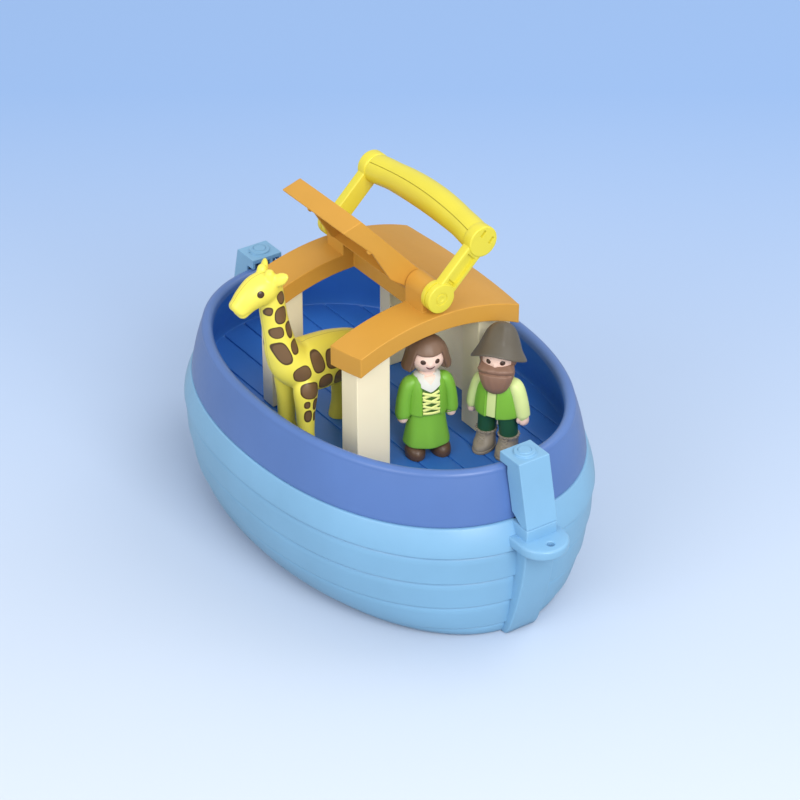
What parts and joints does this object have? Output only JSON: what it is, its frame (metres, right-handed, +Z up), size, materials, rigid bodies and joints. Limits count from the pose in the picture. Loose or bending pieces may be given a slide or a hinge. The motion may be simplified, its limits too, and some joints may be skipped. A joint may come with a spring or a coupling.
{
  "type": "toy ark with carrying handle",
  "caption": "Plastic toy ark with a planked blue hull, open deck, small house, hinged roof flap, folding carrying handle and figures on the deck.",
  "frame": {"origin": "on the floor, at the middle of the hull's flat bottom", "axes": "+X to the bow with the tow plate, +Y to the right-hand side with the back wall, +Z up"},
  "size_m": [0.2548, 0.1587, 0.1786],
  "materials": {
    "hull_blue": "smooth pale blue, semi-gloss",
    "ring_blue": "smooth mid blue, semi-gloss",
    "deck_blue": "smooth royal blue, semi-gloss",
    "cream": "smooth cream, semi-gloss",
    "orange": "smooth light orange, semi-gloss",
    "yellow": "smooth yellow, semi-gloss",
    "giraffe_yellow": "smooth yellow with painted brown spots",
    "jacket_green": "smooth leaf green, semi-gloss",
    "trouser_green": "smooth dark green, semi-gloss",
    "skin": "smooth skin colour, semi-gloss",
    "hair_brown": "smooth brown, semi-gloss",
    "shoe_brown": "smooth dark brown, semi-gloss",
    "hat_grey": "smooth grey brown, semi-gloss",
    "boot_grey": "smooth grey brown, semi-gloss",
    "steel": "plain drawn wire"
  },
  "bodies": {
    "ark": {"hull": "hull_blue", "bulwark_ring": "ring_blue", "deck": "deck_blue", "bow_cap": "hull_blue", "stern_cap": "hull_blue", "bow_left_post": "cream", "bow_right_post": "cream", "stern_left_post": "cream", "stern_right_post": "cream", "back_wall": "cream", "roof": "orange", "bow_pivot_pin": "steel", "stern_pivot_pin": "steel", "giraffe": "giraffe_yellow", "woman_body": "jacket_green", "woman_head": "skin", "woman_hair": "hair_brown", "woman_shoes": "shoe_brown", "man_body": "jacket_green", "man_trousers": "trouser_green", "man_boots": "boot_grey", "man_head": "skin", "man_beard": "hair_brown", "man_hat": "hat_grey"},
    "flap": {"roof_flap": "orange"},
    "handle": {"handle_frame": "yellow", "grip_cover": "yellow"}
  },
  "joints": [
    {"name": "flap_hinge", "type": "hinge", "parent": "ark", "child": "flap", "pos_m": [0, 0, 0.1394], "axis": [-1, 0, 0], "range_deg": [-73.6, 14]},
    {"name": "handle_swing", "type": "hinge", "parent": "ark", "child": "handle", "pos_m": [0, 0, 0.1394], "axis": [-1, 0, 0], "range_deg": [-46, 48]}
  ]
}
